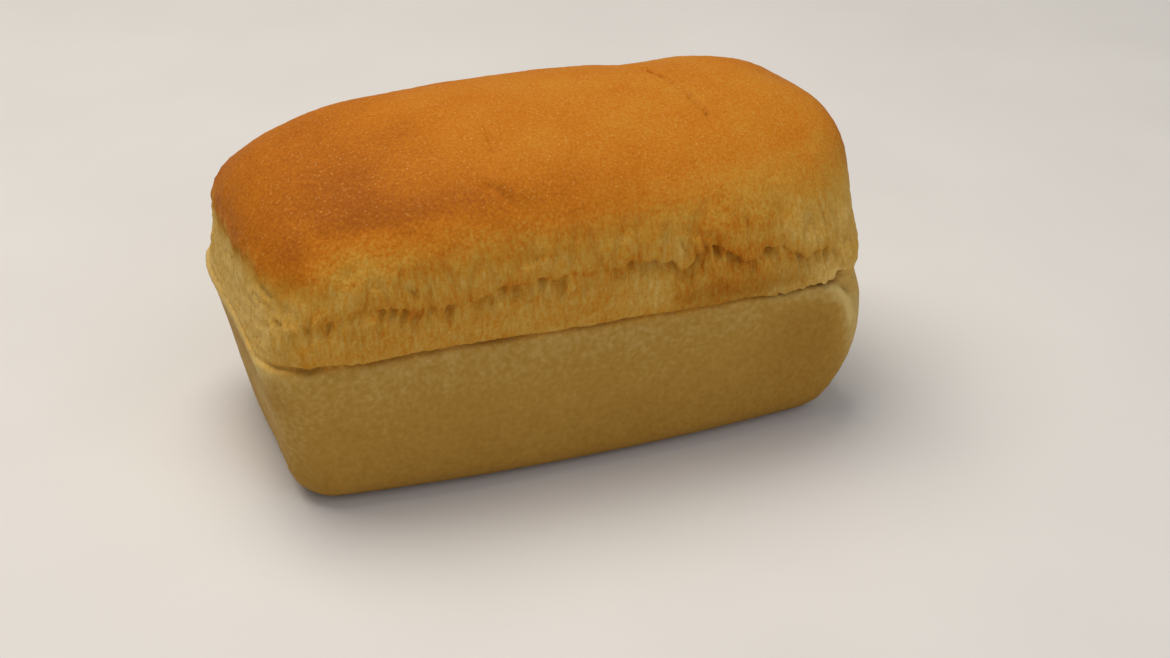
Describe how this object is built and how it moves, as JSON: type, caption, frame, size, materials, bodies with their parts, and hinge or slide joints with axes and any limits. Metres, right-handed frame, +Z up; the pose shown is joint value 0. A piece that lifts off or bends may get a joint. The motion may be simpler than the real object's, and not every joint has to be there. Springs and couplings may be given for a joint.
{
  "type": "loaf of bread",
  "caption": "Whole uncut pan loaf with a golden domed crust, a torn band along its front side and a smooth pan-baked lower part.",
  "frame": {"origin": "middle of the loaf's outline, on the flat base that it stands on", "axes": "+X along the loaf, +Y from the front side to the back, +Z up"},
  "size_m": [0.218, 0.12, 0.1198],
  "materials": {
    "crust": "satin-matte baked crust, golden orange on top, fading to pale tan below the rim"
  },
  "bodies": {
    "root": {"loaf": "crust"}
  },
  "joints": []
}
